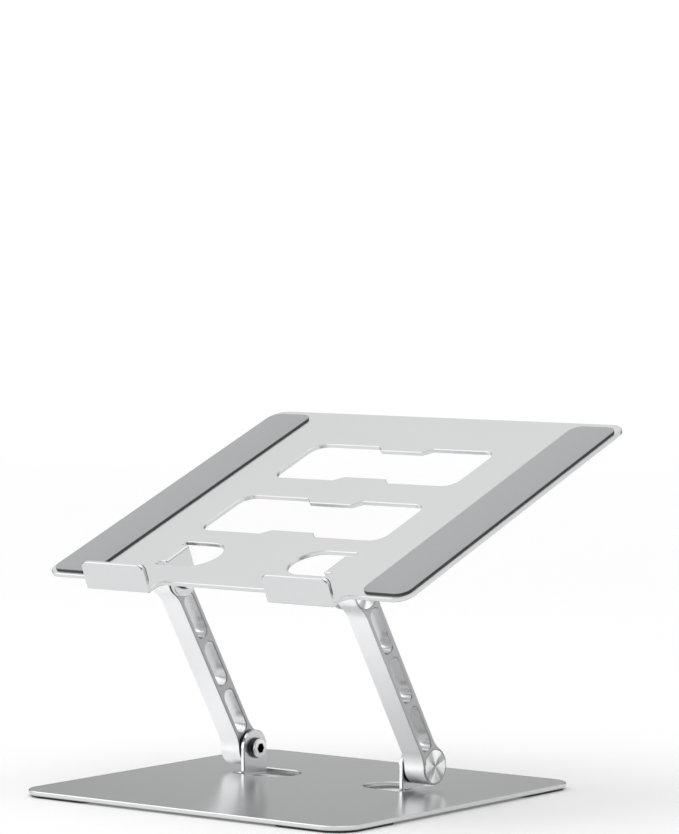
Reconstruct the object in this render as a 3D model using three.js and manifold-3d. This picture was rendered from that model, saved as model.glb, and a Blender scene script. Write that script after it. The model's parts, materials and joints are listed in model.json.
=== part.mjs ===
// Folding laptop stand: a base plate and a tray, both bent from 2.5 mm aluminium sheet, joined by two
// aluminium arms. Each arm turns on a bolted friction hinge at either end, so the tray's height and tilt
// are set by hand and stay put, and the stand folds flat.
// Units are millimetres. +X runs across the stand, +Y to the rear, +Z up. The origin is on the desk
// under the middle of the stand's bounding box. Left and right are as seen from the front.
import * as THREE from 'three';
import { mergeVertices } from 'three/addons/utils/BufferGeometryUtils.js';
import Module from 'manifold-3d';

const wasm = await Module();
wasm.setup();

// ---------------------------------------------------------------- driving dimensions
const SHEET = 2.5; // thickness of the base plate and the tray
const GAP = 0.2; // clearance between neighbouring pieces

const BASE_WIDTH = 228;
const BASE_DEPTH = 212;
const BASE_CORNER = 16;

const FOOT_THICK = 1.1;
const FOOT_LEG = 48; // length of each leg of the L-shaped foot
const FOOT_WIDTH = 13;
const FOOT_INSET = 1.5; // from the edge of the base plate
const FOOT_INNER_CORNER = 7;

const TRAY_WIDTH = 252;
const TRAY_DEPTH = 222;
const TRAY_CORNER = 10;
const TRAY_TILT = 21.4; // degrees, rear edge up, as set up for use

const CUTOUT_WIDTH = 128;
const CUTOUT_DEPTH = 46;
const CUTOUT_CORNER = 8.5;
const CUTOUT_CENTRES = [86.7, 157]; // from the tray's front edge
const NECK_STEP = 5; // how far each long side steps in at the middle of a cutout
const NECK_TIP = 14.5; // half the width of that step at its tip
const NECK_ROOT = 19.5; // and at its root

const EAR_INNER = 54.9; // distance of the ears' inner faces from the middle of the stand
const EAR_WIDTH = 20.4;
const EAR_BEND = 0.4; // inside radius of the bend
const EAR_BEND_OUTER = 1;
const PIVOT_HEIGHT = 13.2; // from the sheet that an ear rises from to its bolt
const WINDOW_HALF = 14.5; // half the width of the D-shaped window that each ear is cut from
const WINDOW_CENTRE = 40.5; // centre of the window's round end, from the middle of the stand
const WINDOW_RELIEF = 61; // outer end of the bend reliefs, from the middle of the stand
const BASE_EAR_Y = 29.7; // behind the middle of the base plate
const TRAY_EAR_Y = 33.8; // behind the tray's front edge

const HOOK_CENTRE = 63.7; // from the middle of the stand
const HOOK_WIDTH = 44.7;
const HOOK_REACH = 10.7; // from the tray's front edge to the hook's front face
const HOOK_HEIGHT = 14.2; // above the tray's top face
const HOOK_BEND = 0.4; // inside radius of the bend
const HOOK_BEND_OUTER = 1;
const HOOK_CORNER = 4;
const HOOK_FILLET = 4;

const TRAY_PAD_WIDTH = 30;
const TRAY_PAD_LENGTH = 212.5;
const TRAY_PAD_CENTRE = 108.6; // from the middle of the stand
const TRAY_PAD_FRONT = 3.3; // from the tray's front edge
const TRAY_PAD_CORNER = 7;
const PAD_THICK = 1;
const HOOK_PAD_INSET = 0.9;
const HOOK_PAD_BOTTOM = 1.6; // above the tray's top face

const ARM_LENGTH = 118; // between the two bolts
const ARM_LEAN = 31.3; // degrees forward from upright, as set up for use
const ARM_INNER = 58.3; // distance of the arms' inner faces from the middle of the stand
const ARM_OUTER = 72.2;
const ARM_WIDTH = 13.4;
const BOSS_RADIUS = 10.2;
const BOSS_FILLET = 18;
const SLOT_PITCH = 33.2;
const SLOT_HALF = 10.3; // from the slot's middle to the centre of its round end
const SLOT_RADIUS = 4.1;

const BOLT_RADIUS = 3;
const BOLT_HOLE = 3.3;
const HEAD_RADIUS = 5.4;
const HEAD_THICK = 1.4;
const HEAD_CHAMFER = 0.4;
const SOCKET_FLATS = 5;
const SOCKET_DEPTH = 1.2;
const WASHER_RADIUS = 5.8;
const WASHER_THICK = 1;
const SPRING_RADIUS = 5.5;
const SPRING_THICK = 1;
const DISC_RADIUS = 9.6; // the friction disc between an ear and an arm
const CAP_RADIUS = 9.3;
const CAP_RECESS = 9.5;
const CAP_THICK = 1.2;
const CAP_CHAMFER = 0.3;
const SPIGOT_OUTER = 6.7;
const SPIGOT_INNER = 6.1;
const SPIGOT_LENGTH = 2;
const POCKET_RADIUS = 7;
const POCKET_DEPTH = 8.2;
const NUT_FLATS = 10;
const NUT_HEIGHT = 4;
const NUT_COLLAR = 4.2; // radius of the nylon collar
const NUT_COLLAR_HEIGHT = 1.2;

// ---------------------------------------------------------------- derived places
const BASE_TOP = FOOT_THICK + GAP + SHEET;
const EAR_OUTER = EAR_INNER + SHEET;
const BEND_CENTRE = EAR_OUTER + EAR_BEND;
const ARM_THICK = ARM_OUTER - ARM_INNER;
const LOWER_PIVOT = new THREE.Vector3(0, BASE_EAR_Y, BASE_TOP + PIVOT_HEIGHT);
const lean = THREE.MathUtils.degToRad(ARM_LEAN);
const tilt = THREE.MathUtils.degToRad(TRAY_TILT);
const UPPER_PIVOT = LOWER_PIVOT.clone().add(
  new THREE.Vector3(0, -ARM_LENGTH * Math.sin(lean), ARM_LENGTH * Math.cos(lean)),
);

// ---------------------------------------------------------------- materials
const FINISHES = {
  satinAluminium: { color: 0xc9cbcd, roughness: 0.42, metalness: 1 },
  brushedCap: { color: 0xdadcde, roughness: 0.25, metalness: 1 },
  greyRubber: { color: 0x8b8d8f, roughness: 0.8, metalness: 0 },
  blackRubber: { color: 0x232426, roughness: 0.85, metalness: 0 },
  brightSteel: { color: 0xb9bbbd, roughness: 0.3, metalness: 1 },
  blackSteel: { color: 0x1d1e20, roughness: 0.45, metalness: 0.6 },
  nylon: { color: 0x1a1a1b, roughness: 0.6, metalness: 0 },
};

function piece(name, geometry, finish) {
  const mesh = new THREE.Mesh(geometry, new THREE.MeshStandardMaterial(FINISHES[finish]));
  mesh.name = name;
  return mesh;
}

// ---------------------------------------------------------------- solids
function solidOf(geometry) {
  const bare = geometry.clone();
  bare.deleteAttribute('normal');
  bare.deleteAttribute('uv');
  const merged = mergeVertices(bare, 1e-5);
  return new wasm.Manifold(
    new wasm.Mesh({
      numProp: 3,
      vertProperties: new Float32Array(merged.attributes.position.array),
      triVerts: new Uint32Array(merged.index.array),
    }),
  );
}

function geometryOf(solid) {
  const mesh = solid.getMesh();
  const geometry = new THREE.BufferGeometry();
  geometry.setAttribute('position', new THREE.BufferAttribute(mesh.vertProperties, 3));
  geometry.setIndex(new THREE.BufferAttribute(mesh.triVerts, 1));
  geometry.computeVertexNormals();
  return geometry;
}

// Extrudes a shape drawn in XY upwards, from z = bottom to z = top.
function slab(shape, bottom, top, arcSteps = 4) {
  const geometry = new THREE.ExtrudeGeometry(shape, {
    depth: top - bottom,
    bevelEnabled: false,
    curveSegments: arcSteps,
  });
  return geometry.translate(0, 0, bottom);
}

// Extrudes a shape drawn with (Y, Z) as its two directions, from x = near to x = far.
function slabAlongX(shape, near, far, arcSteps = 4) {
  const turn = new THREE.Matrix4().makeBasis(
    new THREE.Vector3(0, 1, 0),
    new THREE.Vector3(0, 0, 1),
    new THREE.Vector3(1, 0, 0),
  );
  return slab(shape, near, far, arcSteps).applyMatrix4(turn);
}

// Extrudes a shape drawn with (X, Z) as its two directions, from y = near to y = far.
function slabAlongY(shape, near, far, arcSteps = 4) {
  const turn = new THREE.Matrix4().makeBasis(
    new THREE.Vector3(1, 0, 0),
    new THREE.Vector3(0, 0, 1),
    new THREE.Vector3(0, -1, 0),
  );
  return slab(shape, -far, -near, arcSteps).applyMatrix4(turn);
}

// A solid of revolution about the X axis. The profile's points are [x, radius].
function turned(profile, segments = 18) {
  const points = profile.map(([x, radius]) => new THREE.Vector2(radius, x));
  return new THREE.LatheGeometry(points, segments).rotateZ(-Math.PI / 2);
}

// A plain rod or bore about the X axis, from x = near to x = far.
function rod(radius, near, far, segments = 18) {
  const geometry = new THREE.CylinderGeometry(radius, radius, far - near, segments);
  return geometry.rotateZ(-Math.PI / 2).translate((near + far) / 2, 0, 0);
}

// A ring about the X axis, from x = near to x = far.
function ring(inner, outer, near, far, segments = 18) {
  const profile = [
    [near, inner],
    [near, outer],
    [far, outer],
    [far, inner],
    [near, inner],
  ];
  return turned(profile, segments);
}

function roundedRectangle(x0, y0, x1, y1, r) {
  const shape = new THREE.Shape();
  shape.absarc(x1 - r, y0 + r, r, -Math.PI / 2, 0);
  shape.absarc(x1 - r, y1 - r, r, 0, Math.PI / 2);
  shape.absarc(x0 + r, y1 - r, r, Math.PI / 2, Math.PI);
  shape.absarc(x0 + r, y0 + r, r, Math.PI, 1.5 * Math.PI);
  shape.closePath();
  return shape;
}

// ---------------------------------------------------------------- ears and their windows
// The window left in a sheet by one ear: D-shaped, with a rounded relief slot at each end of the bend.
function windowShape(side, centreY) {
  const half = EAR_WIDTH / 2;
  const relief = (WINDOW_HALF - half) / 2;
  const reliefX = WINDOW_RELIEF - relief;
  const middle = half + relief;
  const path = new THREE.Path();
  path.moveTo(BEND_CENTRE, half);
  path.lineTo(reliefX, half);
  path.absarc(reliefX, middle, relief, -Math.PI / 2, Math.PI / 2);
  path.absarc(WINDOW_CENTRE, 0, WINDOW_HALF, Math.PI / 2, 1.5 * Math.PI);
  path.absarc(reliefX, -middle, relief, -Math.PI / 2, Math.PI / 2);
  path.lineTo(BEND_CENTRE, -half);
  path.closePath();
  const points = path.getPoints(5).map((p) => new THREE.Vector2(side * p.x, p.y + centreY));
  return new THREE.Path(side > 0 ? points : points.reverse());
}

// The bent ear, rising from a sheet whose top face is z = 0, with its bolt hole on the line y = 0.
function earSolid(side) {
  const root = BEND_CENTRE + 1;
  const outer = EAR_BEND_OUTER;
  const top = PIVOT_HEIGHT + BOSS_RADIUS;
  const section = new THREE.Shape();
  section.moveTo(root, -SHEET);
  section.lineTo(EAR_INNER + outer, -SHEET);
  section.absarc(EAR_INNER + outer, outer - SHEET, outer, 1.5 * Math.PI, Math.PI, true);
  section.lineTo(EAR_INNER, top);
  section.lineTo(EAR_OUTER, top);
  section.absarc(BEND_CENTRE, EAR_BEND, EAR_BEND, Math.PI, 1.5 * Math.PI);
  section.lineTo(root, 0);
  section.closePath();

  const outline = new THREE.Shape();
  outline.moveTo(-EAR_WIDTH / 2, -2 * SHEET);
  outline.lineTo(EAR_WIDTH / 2, -2 * SHEET);
  outline.absarc(0, PIVOT_HEIGHT, EAR_WIDTH / 2, 0, Math.PI);
  outline.closePath();
  outline.holes.push(new THREE.Path().absarc(0, PIVOT_HEIGHT, BOLT_HOLE, 0, 2 * Math.PI));

  const bent = solidOf(slabAlongY(section, -EAR_WIDTH, EAR_WIDTH, 3));
  const face = solidOf(slabAlongX(outline, EAR_INNER - 1, root + 1, 8));
  const ear = bent.intersect(face);
  return side > 0 ? ear : ear.rotate([0, 0, 180]);
}

// ---------------------------------------------------------------- base plate and feet
function basePlate() {
  const halfWidth = BASE_WIDTH / 2;
  const halfDepth = BASE_DEPTH / 2;
  const outline = roundedRectangle(-halfWidth, -halfDepth, halfWidth, halfDepth, BASE_CORNER);
  outline.holes.push(windowShape(-1, BASE_EAR_Y), windowShape(1, BASE_EAR_Y));
  let plate = solidOf(slab(outline, -SHEET, 0));
  for (const side of [-1, 1]) {
    plate = plate.add(earSolid(side).translate([0, BASE_EAR_Y, 0]));
  }
  const mesh = piece('base_plate', geometryOf(plate), 'satinAluminium');
  mesh.position.z = BASE_TOP;
  return mesh;
}

// One L-shaped rubber foot, drawn for the corner at +X and +Y.
function footShape() {
  const x1 = BASE_WIDTH / 2 - FOOT_INSET;
  const y1 = BASE_DEPTH / 2 - FOOT_INSET;
  const corner = BASE_CORNER - FOOT_INSET;
  const end = FOOT_WIDTH / 2;
  const shape = new THREE.Shape();
  shape.absarc(x1 - corner, y1 - corner, corner, 0, Math.PI / 2);
  shape.absarc(x1 - FOOT_LEG + end, y1 - end, end, Math.PI / 2, 1.5 * Math.PI);
  const innerX = x1 - FOOT_WIDTH - FOOT_INNER_CORNER;
  const innerY = y1 - FOOT_WIDTH - FOOT_INNER_CORNER;
  shape.absarc(innerX, innerY, FOOT_INNER_CORNER, Math.PI / 2, 0, true);
  shape.absarc(x1 - end, y1 - FOOT_LEG + end, end, Math.PI, 2 * Math.PI);
  shape.closePath();
  return shape;
}

function feet() {
  const group = new THREE.Group();
  const corners = [
    ['foot_rear_right', 1, 1],
    ['foot_rear_left', -1, 1],
    ['foot_front_left', -1, -1],
    ['foot_front_right', 1, -1],
  ];
  for (const [name, sideX, sideY] of corners) {
    const points = footShape().getPoints(3);
    const placed = points.map((p) => new THREE.Vector2(sideX * p.x, sideY * p.y));
    group.add(piece(name, slab(new THREE.Shape(placed), 0, FOOT_THICK), 'blackRubber'));
  }
  return group;
}

// ---------------------------------------------------------------- tray and its pads
// A cutout narrowed at the middle by a step in each long side.
function cutoutPath(centreY) {
  const x = CUTOUT_WIDTH / 2;
  const y = CUTOUT_DEPTH / 2;
  const r = CUTOUT_CORNER;
  const path = new THREE.Path();
  path.moveTo(NECK_ROOT, centreY - y);
  path.lineTo(x - r, centreY - y);
  path.absarc(x - r, centreY - y + r, r, -Math.PI / 2, 0);
  path.absarc(x - r, centreY + y - r, r, 0, Math.PI / 2);
  path.lineTo(NECK_ROOT, centreY + y);
  path.lineTo(NECK_TIP, centreY + y - NECK_STEP);
  path.lineTo(-NECK_TIP, centreY + y - NECK_STEP);
  path.lineTo(-NECK_ROOT, centreY + y);
  path.absarc(r - x, centreY + y - r, r, Math.PI / 2, Math.PI);
  path.absarc(r - x, centreY - y + r, r, Math.PI, 1.5 * Math.PI);
  path.lineTo(-NECK_ROOT, centreY - y);
  path.lineTo(-NECK_TIP, centreY - y + NECK_STEP);
  path.lineTo(NECK_TIP, centreY - y + NECK_STEP);
  path.closePath();
  return path;
}

// The tray's flat outline, with a tongue for each hook that blends into the front edge.
function trayOutline() {
  const half = TRAY_WIDTH / 2;
  const r = TRAY_CORNER;
  const f = HOOK_FILLET;
  const tongueEnd = SHEET - HOOK_REACH + HOOK_BEND;
  const shape = new THREE.Shape();
  shape.absarc(r - half, r, r, Math.PI, 1.5 * Math.PI);
  for (const centre of [-HOOK_CENTRE, HOOK_CENTRE]) {
    const left = centre - HOOK_WIDTH / 2;
    const right = centre + HOOK_WIDTH / 2;
    shape.absarc(left - f, -f, f, Math.PI / 2, 0, true);
    shape.lineTo(left, tongueEnd);
    shape.lineTo(right, tongueEnd);
    shape.absarc(right + f, -f, f, Math.PI, Math.PI / 2, true);
  }
  shape.absarc(half - r, r, r, -Math.PI / 2, 0);
  shape.absarc(half - r, TRAY_DEPTH - r, r, 0, Math.PI / 2);
  shape.absarc(r - half, TRAY_DEPTH - r, r, Math.PI / 2, Math.PI);
  shape.closePath();
  return shape;
}

// The bend and upright of one hook, on a tray whose top face is z = 0 and front edge y = 0.
function hookSolid() {
  const bendY = SHEET - HOOK_REACH + HOOK_BEND;
  const outer = HOOK_BEND_OUTER;
  const section = new THREE.Shape();
  section.moveTo(bendY + 1, 0);
  section.lineTo(bendY, 0);
  section.absarc(bendY, HOOK_BEND, HOOK_BEND, 1.5 * Math.PI, Math.PI, true);
  section.lineTo(SHEET - HOOK_REACH, HOOK_HEIGHT);
  section.lineTo(-HOOK_REACH, HOOK_HEIGHT);
  section.absarc(outer - HOOK_REACH, outer - SHEET, outer, Math.PI, 1.5 * Math.PI);
  section.lineTo(bendY + 1, -SHEET);
  section.closePath();

  const half = HOOK_WIDTH / 2;
  const face = new THREE.Shape();
  face.moveTo(-half, -2 * SHEET);
  face.lineTo(half, -2 * SHEET);
  face.absarc(half - HOOK_CORNER, HOOK_HEIGHT - HOOK_CORNER, HOOK_CORNER, 0, Math.PI / 2);
  face.absarc(HOOK_CORNER - half, HOOK_HEIGHT - HOOK_CORNER, HOOK_CORNER, Math.PI / 2, Math.PI);
  face.closePath();

  const bent = solidOf(slabAlongX(section, -half - 1, half + 1, 4));
  return bent.intersect(solidOf(slabAlongY(face, -HOOK_REACH - 1, 0)));
}

function trayPlate() {
  const outline = trayOutline();
  outline.holes.push(windowShape(-1, TRAY_EAR_Y), windowShape(1, TRAY_EAR_Y));
  outline.holes.push(...CUTOUT_CENTRES.map(cutoutPath));
  let tray = solidOf(slab(outline, -SHEET, 0));
  for (const side of [-1, 1]) {
    const ear = earSolid(side).rotate([0, 180, 0]).translate([0, TRAY_EAR_Y, -SHEET]);
    tray = tray.add(ear).add(hookSolid().translate([side * HOOK_CENTRE, 0, 0]));
  }
  return piece('tray_plate', geometryOf(tray), 'satinAluminium');
}

function trayPad(sideName, side) {
  const x = side * TRAY_PAD_CENTRE;
  const half = TRAY_PAD_WIDTH / 2;
  const rear = TRAY_PAD_FRONT + TRAY_PAD_LENGTH;
  const shape = roundedRectangle(x - half, TRAY_PAD_FRONT, x + half, rear, TRAY_PAD_CORNER);
  return piece(`tray_pad_${sideName}`, slab(shape, GAP, GAP + PAD_THICK), 'greyRubber');
}

// The rubber lining on the rear face of a hook.
function hookPad(sideName, side) {
  const half = HOOK_WIDTH / 2 - HOOK_PAD_INSET;
  const top = HOOK_HEIGHT - HOOK_PAD_INSET;
  const shape = roundedRectangle(-half, HOOK_PAD_BOTTOM, half, top, HOOK_CORNER - HOOK_PAD_INSET);
  const near = SHEET - HOOK_REACH + GAP;
  const geometry = slabAlongY(shape, near, near + PAD_THICK).translate(side * HOOK_CENTRE, 0, 0);
  return piece(`hook_pad_${sideName}`, geometry, 'blackRubber');
}

function trayGroup() {
  const group = new THREE.Group();
  group.add(trayPlate());
  for (const [sideName, side] of [['left', -1], ['right', 1]]) {
    group.add(trayPad(sideName, side), hookPad(sideName, side));
  }
  // The tray hangs on the upper bolts, which lie below and behind its front edge.
  const fromPivot = new THREE.Vector3(0, -TRAY_EAR_Y, SHEET + PIVOT_HEIGHT);
  fromPivot.applyAxisAngle(new THREE.Vector3(1, 0, 0), tilt);
  group.position.copy(UPPER_PIVOT).add(fromPivot);
  group.rotation.x = tilt;
  return group;
}

// ---------------------------------------------------------------- arms
// A straight bar with a round boss at each end, upright, with its lower bolt at y = 0, z = 0.
function armShape() {
  const half = ARM_WIDTH / 2;
  const reach = BOSS_RADIUS + BOSS_FILLET;
  const side = half + BOSS_FILLET;
  const rise = Math.sqrt(reach * reach - side * side);
  const turn = Math.atan2(rise, side);
  const top = ARM_LENGTH;
  const shape = new THREE.Shape();
  shape.absarc(0, 0, BOSS_RADIUS, Math.PI - turn, 2 * Math.PI + turn);
  shape.absarc(side, rise, BOSS_FILLET, Math.PI + turn, Math.PI, true);
  shape.absarc(side, top - rise, BOSS_FILLET, Math.PI, Math.PI - turn, true);
  shape.absarc(0, top, BOSS_RADIUS, -turn, Math.PI + turn);
  shape.absarc(-side, top - rise, BOSS_FILLET, turn, 0, true);
  shape.absarc(-side, rise, BOSS_FILLET, 0, -turn, true);
  shape.closePath();
  for (const step of [-1, 0, 1]) {
    const middle = top / 2 + step * SLOT_PITCH;
    const slot = new THREE.Path();
    slot.absarc(0, middle + SLOT_HALF, SLOT_RADIUS, 0, Math.PI);
    slot.absarc(0, middle - SLOT_HALF, SLOT_RADIUS, Math.PI, 2 * Math.PI);
    slot.closePath();
    shape.holes.push(slot);
  }
  return shape;
}

// Each end of an arm has a bolt hole, a pocket for the nut and a shallow recess for the cap.
function arm(name, side) {
  let bar = solidOf(slabAlongX(armShape(), 0, ARM_THICK, 4));
  for (const height of [0, ARM_LENGTH]) {
    const cuts = [
      rod(BOLT_HOLE, -1, ARM_THICK + 1),
      rod(POCKET_RADIUS, ARM_THICK - POCKET_DEPTH, ARM_THICK + 1),
      rod(CAP_RECESS, ARM_THICK - CAP_THICK, ARM_THICK + 1),
    ];
    for (const cut of cuts) {
      bar = bar.subtract(solidOf(cut).translate([0, 0, height]));
    }
  }
  if (side < 0) {
    bar = bar.rotate([0, 0, 180]);
  }
  const mesh = piece(name, geometryOf(bar), 'satinAluminium');
  mesh.position.copy(LOWER_PIVOT);
  mesh.position.x = side * ARM_INNER;
  mesh.rotation.x = lean;
  return mesh;
}

// ---------------------------------------------------------------- hinge hardware
function boltGeometry(headFace, end) {
  const shoulder = headFace + HEAD_THICK;
  const profile = [
    [headFace, 0],
    [headFace, HEAD_RADIUS - HEAD_CHAMFER],
    [headFace + HEAD_CHAMFER, HEAD_RADIUS],
    [shoulder, HEAD_RADIUS],
    [shoulder, BOLT_RADIUS],
    [end - BOLT_RADIUS / 4, BOLT_RADIUS],
    [end, BOLT_RADIUS - BOLT_RADIUS / 4],
    [end, 0],
  ];
  const socketRadius = SOCKET_FLATS / Math.sqrt(3);
  const socket = rod(socketRadius, headFace - 1, headFace + SOCKET_DEPTH, 6);
  return geometryOf(solidOf(turned(profile)).subtract(solidOf(socket)));
}

function nutGeometry(near) {
  const corner = NUT_FLATS / Math.sqrt(3);
  const far = near + NUT_HEIGHT;
  const bevel = corner - NUT_FLATS / 2;
  const envelope = [
    [near, 0],
    [near, NUT_FLATS / 2],
    [near + bevel / 2, corner],
    [far - bevel / 2, corner],
    [far, NUT_FLATS / 2],
    [far, 0],
  ];
  let nut = solidOf(rod(corner, near, far, 6)).intersect(solidOf(turned(envelope)));
  nut = nut.add(solidOf(rod(NUT_COLLAR, far - 1, far + NUT_COLLAR_HEIGHT)));
  return geometryOf(nut.subtract(solidOf(rod(BOLT_HOLE, near - 1, far + NUT_COLLAR_HEIGHT + 1))));
}

function capGeometry(outerFace) {
  const innerFace = outerFace - CAP_THICK;
  const spigotEnd = innerFace - SPIGOT_LENGTH;
  const profile = [
    [innerFace, 0],
    [innerFace, SPIGOT_INNER],
    [spigotEnd, SPIGOT_INNER],
    [spigotEnd, SPIGOT_OUTER],
    [innerFace, SPIGOT_OUTER],
    [innerFace, CAP_RADIUS],
    [outerFace - CAP_CHAMFER, CAP_RADIUS],
    [outerFace, CAP_RADIUS - CAP_CHAMFER],
    [outerFace, 0],
  ];
  return turned(profile, 28);
}

// Everything threaded on one bolt, in order from the middle of the stand outwards.
function hinge(levelName, sideName, side, pivot, turn) {
  const washer = EAR_INNER - GAP - WASHER_THICK;
  const spring = washer - GAP / 2 - SPRING_THICK;
  const headFace = spring - GAP / 2 - HEAD_THICK;
  const pocketFloor = ARM_OUTER - POCKET_DEPTH;
  const nutWasher = pocketFloor + GAP;
  const nut = nutWasher + SPRING_THICK + GAP;
  const capFace = ARM_OUTER + GAP;
  const boltEnd = capFace - CAP_THICK - 2 * GAP;
  const pieces = [
    ['bolt', boltGeometry(headFace, boltEnd), 'brightSteel'],
    ['spring_washer', ring(BOLT_HOLE, SPRING_RADIUS, spring, spring + SPRING_THICK), 'blackSteel'],
    ['head_washer', ring(BOLT_HOLE, WASHER_RADIUS, washer, washer + WASHER_THICK), 'blackSteel'],
    ['friction_disc', ring(BOLT_HOLE, DISC_RADIUS, EAR_OUTER + GAP, ARM_INNER - GAP), 'nylon'],
    ['nut_washer', ring(BOLT_HOLE, WASHER_RADIUS, nutWasher, nutWasher + SPRING_THICK), 'brightSteel'],
    ['lock_nut', nutGeometry(nut), 'brightSteel'],
    ['end_cap', capGeometry(capFace), 'brushedCap'],
  ];
  const group = new THREE.Group();
  for (const [kind, geometry, finish] of pieces) {
    group.add(piece(`${levelName}_${sideName}_${kind}`, geometry, finish));
  }
  group.position.copy(pivot);
  group.rotation.set(turn, 0, side > 0 ? 0 : Math.PI);
  return group;
}

// ---------------------------------------------------------------- the stand
const stand = new THREE.Group();
stand.add(basePlate(), feet(), trayGroup());
for (const [sideName, side] of [['left', -1], ['right', 1]]) {
  stand.add(arm(`${sideName}_arm`, side));
  stand.add(hinge('lower', sideName, side, LOWER_PIVOT, 0));
  stand.add(hinge('upper', sideName, side, UPPER_PIVOT, tilt));
}
const bounds = new THREE.Box3().setFromObject(stand, true);
stand.position.y = -bounds.getCenter(new THREE.Vector3()).y;

export default stand;
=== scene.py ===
"""Folding aluminium laptop stand: its finished pieces, their materials and a plain pale studio."""
import json
import math

import bmesh
import bpy
from mathutils import Matrix, Vector
from mathutils.geometry import tessellate_polygon

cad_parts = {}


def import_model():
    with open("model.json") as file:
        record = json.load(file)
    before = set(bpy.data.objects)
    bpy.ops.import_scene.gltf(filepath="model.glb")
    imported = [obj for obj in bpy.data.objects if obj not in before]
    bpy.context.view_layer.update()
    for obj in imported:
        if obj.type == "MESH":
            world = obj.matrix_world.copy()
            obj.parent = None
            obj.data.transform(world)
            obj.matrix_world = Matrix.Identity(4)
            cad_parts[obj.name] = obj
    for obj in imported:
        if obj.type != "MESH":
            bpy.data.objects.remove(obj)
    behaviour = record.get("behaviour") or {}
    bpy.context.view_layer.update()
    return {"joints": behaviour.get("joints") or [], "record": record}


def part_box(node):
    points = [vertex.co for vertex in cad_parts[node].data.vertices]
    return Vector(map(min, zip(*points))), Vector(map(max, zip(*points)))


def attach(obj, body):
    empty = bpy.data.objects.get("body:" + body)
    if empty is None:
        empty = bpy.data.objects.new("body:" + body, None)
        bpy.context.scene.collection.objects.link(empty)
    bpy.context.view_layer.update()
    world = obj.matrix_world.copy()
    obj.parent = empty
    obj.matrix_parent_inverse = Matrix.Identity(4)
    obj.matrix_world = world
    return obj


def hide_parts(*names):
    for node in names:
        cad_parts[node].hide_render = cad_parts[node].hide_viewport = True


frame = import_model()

# ---------------------------------------------------------------- sizes, in metres
MM = 0.001
SHEET = 2.5 * MM
SHEET_CHAMFER = 0.4 * MM
BEND_LENGTH = 3 * MM  # of flat sheet taken up by each bend
ON_THE_LINE = 1e-6  # a point this far past a line still counts as on it

BASE_CORNER = 16 * MM
FOOT_LEG = 48 * MM
FOOT_WIDTH = 13 * MM
FOOT_INSET = 1.5 * MM
FOOT_INNER_CORNER = 7 * MM
FOOT_THICK = 1.1 * MM
FOOT_EDGE = 0.3 * MM

TRAY_DEPTH = 222 * MM
TRAY_CORNER = 10 * MM
CUTOUT_WIDTH = 128 * MM
CUTOUT_DEPTH = 46 * MM
CUTOUT_CORNER = 8.5 * MM
CUTOUT_CENTRES = (86.7 * MM, 157 * MM)
NECK_STEP = 5 * MM
NECK_TIP = 14.5 * MM
NECK_ROOT = 19.5 * MM

EAR_INNER = 54.9 * MM
EAR_WIDTH = 20.4 * MM
EAR_BEND = 0.4 * MM
EAR_BEND_OUTER = 1 * MM
EAR_LIMIT = 31 * MM  # from the middle of the stand; no ear reaches this far in
PIVOT_HEIGHT = 13.2 * MM
WINDOW_HALF = 14.5 * MM
WINDOW_CENTRE = 40.5 * MM
WINDOW_RELIEF = 61 * MM
TRAY_EAR_Y = 33.8 * MM

HOOK_CENTRE = 63.7 * MM
HOOK_WIDTH = 44.7 * MM
HOOK_REACH = 10.7 * MM
HOOK_HEIGHT = 14.2 * MM
HOOK_BEND = 0.4 * MM
HOOK_BEND_OUTER = 1 * MM
HOOK_CORNER = 4 * MM
HOOK_FILLET = 4 * MM

PAD_GAP = 0.2 * MM
PAD_THICK = 1 * MM
PAD_EDGE = 0.25 * MM
TRAY_PAD_WIDTH = 30 * MM
TRAY_PAD_LENGTH = 212.5 * MM
TRAY_PAD_CENTRE = 108.6 * MM
TRAY_PAD_FRONT = 3.3 * MM
TRAY_PAD_CORNER = 7 * MM
HOOK_PAD_INSET = 0.9 * MM
HOOK_PAD_BOTTOM = 1.6 * MM

ARM_WIDTH = 13.4 * MM
ARM_CHAMFER = 0.35 * MM
BOSS_RADIUS = 10.2 * MM
BOSS_FILLET = 18 * MM
SLOT_PITCH = 33.2 * MM
SLOT_HALF = 10.3 * MM
SLOT_RADIUS = 4.1 * MM
SLOT_CHAMFER = 0.5 * MM
CAP_RECESS = 9.5 * MM
RECESS_RIM = 0.15 * MM
POCKET_RADIUS = 7 * MM
POCKET_DEPTH = 8.2 * MM
BOLT_HOLE = 3.3 * MM
WALL_MARGIN = 0.1 * MM  # for telling the arm's outer wall from the walls of its holes

CAP_THICK = 1.2 * MM
CAP_RADIUS = 9.3 * MM
CAP_BEVEL = 0.3 * MM
CAP_SHEEN_AND_RELIEF_WEDGES = 4  # painted highlights round the cap, bright ones with darker ones between; they also shape its relief
SPIGOT_INNER = 6.1 * MM
SPIGOT_OUTER = 6.7 * MM
BOLT_RADIUS = 3 * MM
HEAD_RADIUS = 5.4 * MM
HEAD_THICK = 1.4 * MM
HEAD_FILLET = 0.4 * MM
HEAD_REAR_FILLET = 0.12 * MM
SOCKET_HALF = 2.5 * MM
SOCKET_DEPTH = 3 * MM
SOCKET_BEVEL = 0.15 * MM
SOCKET_LIP = 0.12 * MM
WASHER_RADIUS = 5.8 * MM
SPRING_RADIUS = 5.5 * MM
SPRING_SKEW = 0.06 * MM
SPRING_GAP = math.radians(7)
DISC_RADIUS = 9.6 * MM
NUT_HALF = 5 * MM
NUT_FACE_SHARE = 0.96
COLLAR_RADIUS = 4.2 * MM
COLLAR_HEIGHT = 1.2 * MM
COLLAR_FILLET = 0.4 * MM

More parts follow.
